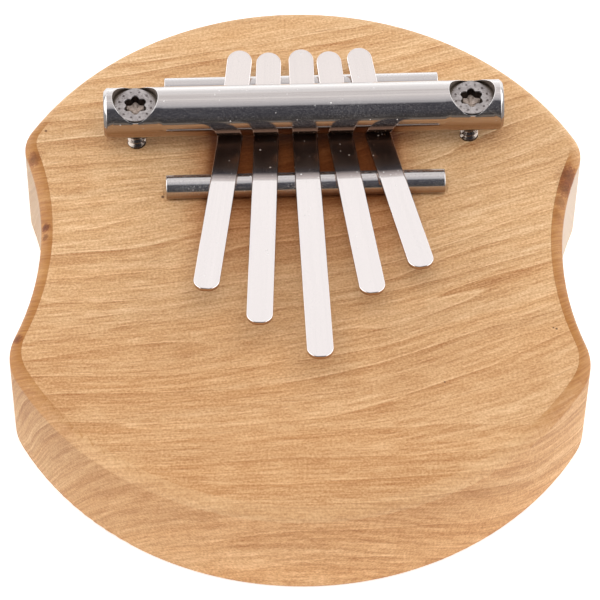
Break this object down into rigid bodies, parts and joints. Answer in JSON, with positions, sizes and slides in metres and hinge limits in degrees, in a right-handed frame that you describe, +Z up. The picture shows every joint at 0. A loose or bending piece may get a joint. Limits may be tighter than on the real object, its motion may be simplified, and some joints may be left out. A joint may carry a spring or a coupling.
{
  "type": "mbira",
  "caption": "Hand-held mbira: a waisted solid hardwood block with spring-steel tongues clamped by a screwed round bar over two steel rods, plucked with the thumbs.",
  "frame": {"origin": "middle of the block's flat underside, at the centre of the circle that both its round ends lie on", "axes": "+Z up out of the face that carries the tongues; +Y away from the player, towards the tongues' clamped ends; +X to the player's right"},
  "size_m": [0.093, 0.104, 0.0336],
  "materials": {
    "oiled_hardwood": "oiled, fine straight grain running left to right",
    "spring_steel": "bright, brushed lengthwise",
    "drawn_steel_rod": "bright drawn, fine lengthwise lines",
    "zinc_plated_screw": "zinc plated, slightly dull"
  },
  "bodies": {
    "block": {"wooden_body": "oiled_hardwood", "bridge_rod": "drawn_steel_rod", "rear_rod": "drawn_steel_rod"},
    "clamp": {"pressure_bar": "drawn_steel_rod"},
    "screw_left": {"screw_left": "zinc_plated_screw"},
    "screw_right": {"screw_right": "zinc_plated_screw"},
    "tongue_1": {"tongue_1_shank": "spring_steel"},
    "blade_1": {"tongue_1_blade": "spring_steel"},
    "tongue_2": {"tongue_2_shank": "spring_steel"},
    "blade_2": {"tongue_2_blade": "spring_steel"},
    "tongue_3": {"tongue_3_shank": "spring_steel"},
    "blade_3": {"tongue_3_blade": "spring_steel"},
    "tongue_4": {"tongue_4_shank": "spring_steel"},
    "blade_4": {"tongue_4_blade": "spring_steel"},
    "tongue_5": {"tongue_5_shank": "spring_steel"},
    "blade_5": {"tongue_5_blade": "spring_steel"}
  },
  "joints": [
    {"name": "clamp_lift", "type": "slide", "parent": "block", "child": "clamp", "axis": [0, 0, 1], "range_m": [0, 0.001]},
    {"name": "screw_left_turn", "type": "hinge", "parent": "clamp", "child": "screw_left", "pos_m": [-0.02772, 0.02219, 0.0287], "axis": [0, 0, 1], "range_deg": [0, 327.3]},
    {"name": "screw_right_turn", "type": "hinge", "parent": "clamp", "child": "screw_right", "pos_m": [0.02772, 0.02481, 0.0287], "axis": [0, 0, 1], "range_deg": [0, 327.3]},
    {"name": "tongue_1_tune", "type": "slide", "parent": "block", "child": "tongue_1", "axis": [-0.0821, -0.978, 0.1917], "range_m": [-0.001, 0.001], "deforming": ["tongue_1_shank"]},
    {"name": "tongue_1_flex", "type": "hinge", "parent": "tongue_1", "child": "blade_1", "pos_m": [-0.01287, 0.01163, 0.02255], "axis": [0.9989, 0.0471, 0], "range_deg": [-2, 4], "stiffness_Nm_per_rad": 3.83},
    {"name": "tongue_2_tune", "type": "slide", "parent": "block", "child": "tongue_2", "axis": [-0.0086, -0.9819, 0.189], "range_m": [-0.001, 0.001], "deforming": ["tongue_2_shank"]},
    {"name": "tongue_2_flex", "type": "hinge", "parent": "tongue_2", "child": "blade_2", "pos_m": [-0.00616, 0.01195, 0.02255], "axis": [0.9989, 0.0471, 0], "range_deg": [-2, 4], "stiffness_Nm_per_rad": 2.992},
    {"name": "tongue_3_tune", "type": "slide", "parent": "block", "child": "tongue_3", "axis": [0.0548, -0.9809, 0.1867], "range_m": [-0.001, 0.001], "deforming": ["tongue_3_shank"]},
    {"name": "tongue_3_flex", "type": "hinge", "parent": "tongue_3", "child": "blade_3", "pos_m": [0.00081, 0.01228, 0.02255], "axis": [0.9989, 0.0471, 0], "range_deg": [-2, 4], "stiffness_Nm_per_rad": 2.451},
    {"name": "tongue_4_tune", "type": "slide", "parent": "block", "child": "tongue_4", "axis": [0.1366, -0.9721, 0.1904], "range_m": [-0.001, 0.001], "deforming": ["tongue_4_shank"]},
    {"name": "tongue_4_flex", "type": "hinge", "parent": "tongue_4", "child": "blade_4", "pos_m": [0.00745, 0.01259, 0.02255], "axis": [0.9989, 0.0471, 0], "range_deg": [-2, 4], "stiffness_Nm_per_rad": 3.608},
    {"name": "tongue_5_tune", "type": "slide", "parent": "block", "child": "tongue_5", "axis": [0.2074, -0.9591, 0.1925], "range_m": [-0.001, 0.001], "deforming": ["tongue_5_shank"]},
    {"name": "tongue_5_flex", "type": "hinge", "parent": "tongue_5", "child": "blade_5", "pos_m": [0.0144, 0.01292, 0.02255], "axis": [0.9989, 0.0471, 0], "range_deg": [-2, 4], "stiffness_Nm_per_rad": 4.444}
  ],
  "couplings": [
    {"joint": "screw_left_turn", "follows": "clamp_lift", "rad_per_m": 5712},
    {"joint": "screw_right_turn", "follows": "clamp_lift", "rad_per_m": 5712}
  ]
}
